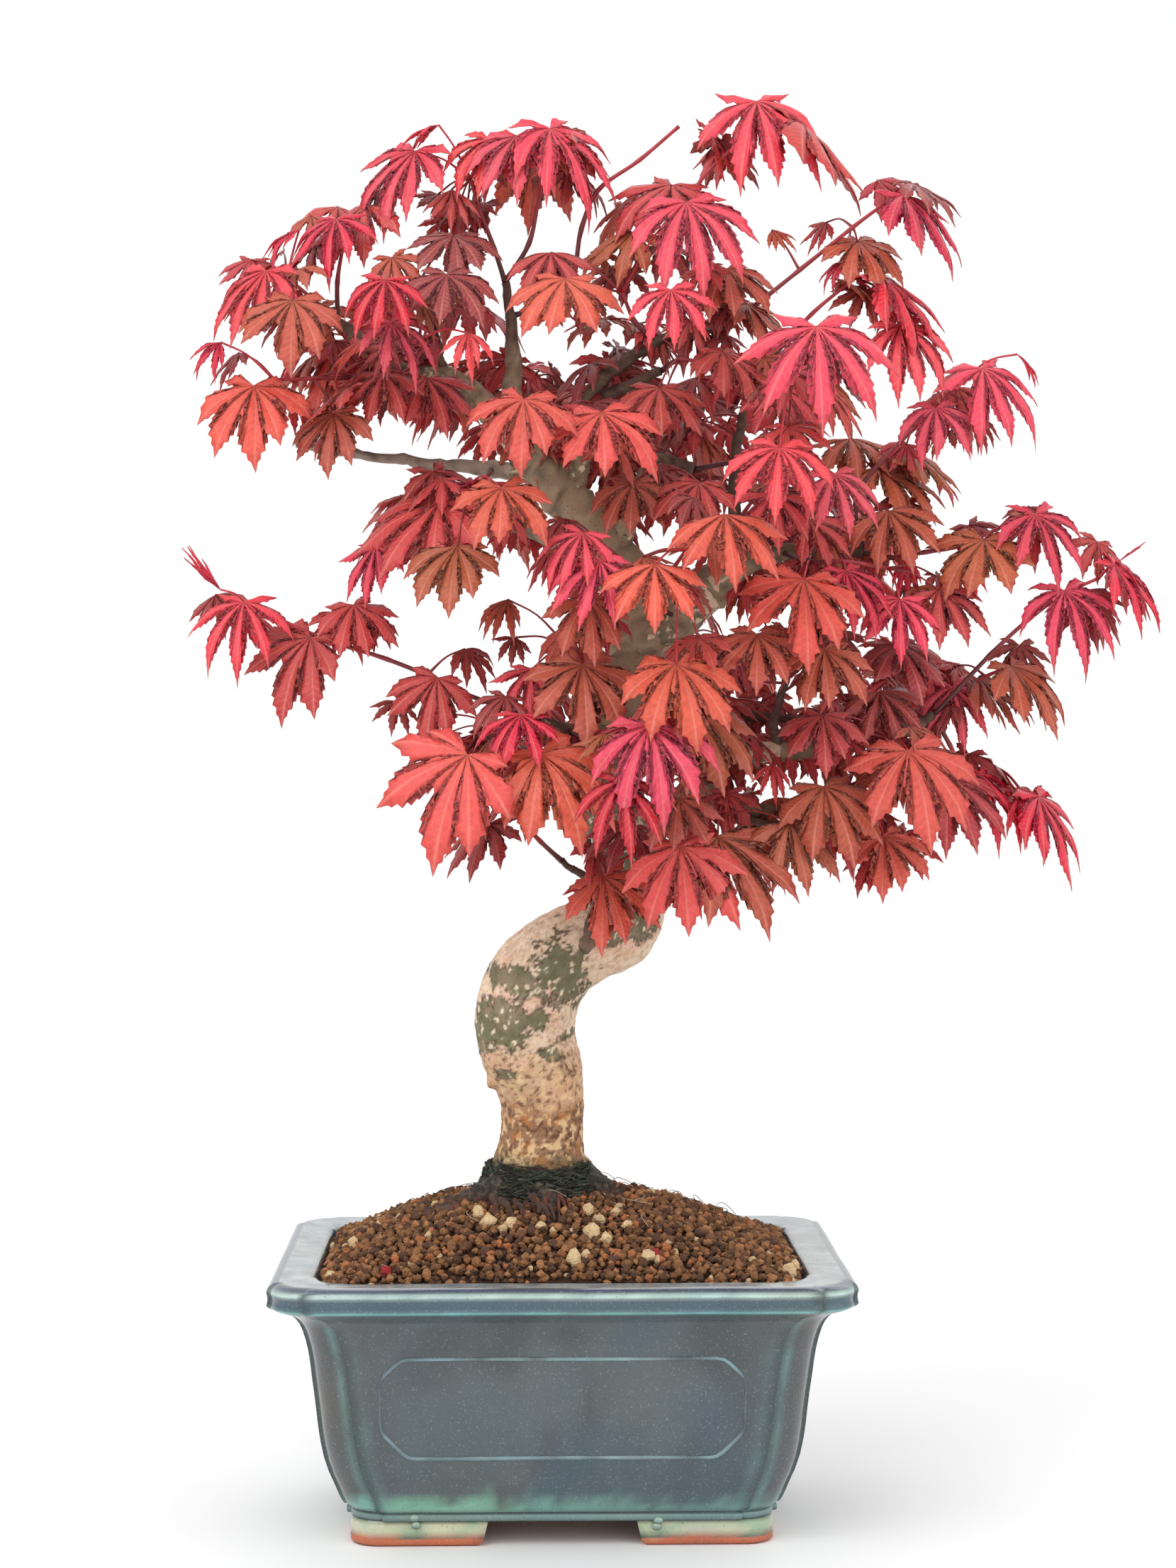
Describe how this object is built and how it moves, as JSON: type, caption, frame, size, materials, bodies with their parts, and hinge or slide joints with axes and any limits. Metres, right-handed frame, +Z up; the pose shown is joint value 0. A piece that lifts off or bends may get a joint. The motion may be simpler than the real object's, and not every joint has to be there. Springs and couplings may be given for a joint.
{
  "type": "bonsai tree in a pot",
  "caption": "Red-leaved Japanese maple bonsai with a bent trunk, in a low glazed rectangular pot on feet.",
  "frame": {"origin": "on the ground, under the middle of the whole tree's bounding box", "axes": "+Z up, +X to the right of the pot seen from its front long side, +Y to the back"},
  "size_m": [0.3706, 0.2362, 0.5405],
  "materials": {
    "pot_glaze": "glossy blue-grey reduction glaze pooling mint green, unglazed terracotta under the feet",
    "screen_mesh": "satin moulded mesh",
    "clip_wire": "drawn wire",
    "gravel": "rough pumice grit",
    "soil": "granular baked clay with pumice, matt and porous",
    "bark": "pale old bark with olive patches, fine cracks and a dark fibrous collar",
    "leaf_crimson": "young crimson leaves, satin and translucent",
    "leaf_pink": "rose red leaves, satin and translucent",
    "leaf_coral": "coral red leaves, satin and translucent",
    "leaf_red": "deep red leaves, satin",
    "leaf_brown": "older leaves turning orange brown, satin"
  },
  "bodies": {
    "root": {"pot": "pot_glaze", "drain_screen_left": "screen_mesh", "screen_clip_left": "clip_wire", "drain_screen_right": "screen_mesh", "screen_clip_right": "clip_wire", "gravel": "gravel", "soil": "soil", "trunk": "bark", "shoot_01": "leaf_crimson", "shoot_02": "leaf_pink", "shoot_03": "leaf_coral", "shoot_04": "leaf_pink", "shoot_05": "leaf_pink", "shoot_06": "leaf_crimson", "shoot_07": "leaf_pink", "shoot_08": "leaf_crimson", "shoot_09": "leaf_pink", "shoot_10": "leaf_brown", "shoot_11": "leaf_brown", "shoot_12": "leaf_pink", "shoot_13": "leaf_brown", "shoot_14": "leaf_coral", "shoot_15": "leaf_red", "shoot_16": "leaf_crimson", "shoot_17": "leaf_coral", "shoot_18": "leaf_brown", "shoot_19": "leaf_coral", "shoot_20": "leaf_pink", "shoot_21": "leaf_crimson", "shoot_22": "leaf_coral", "shoot_23": "leaf_pink", "shoot_24": "leaf_pink", "shoot_25": "leaf_brown", "shoot_26": "leaf_coral", "shoot_27": "leaf_coral", "shoot_28": "leaf_brown", "shoot_29": "leaf_coral", "shoot_30": "leaf_coral", "shoot_31": "leaf_coral", "shoot_32": "leaf_brown", "shoot_33": "leaf_crimson", "shoot_34": "leaf_crimson", "shoot_35": "leaf_pink", "shoot_36": "leaf_red", "shoot_37": "leaf_pink", "shoot_38": "leaf_red", "shoot_39": "leaf_brown", "shoot_40": "leaf_red", "shoot_41": "leaf_brown", "shoot_42": "leaf_coral", "shoot_43": "leaf_brown", "shoot_44": "leaf_pink", "shoot_45": "leaf_brown", "shoot_46": "leaf_pink", "shoot_47": "leaf_coral", "shoot_48": "leaf_pink", "shoot_49": "leaf_brown", "shoot_50": "leaf_brown"}
  },
  "joints": []
}
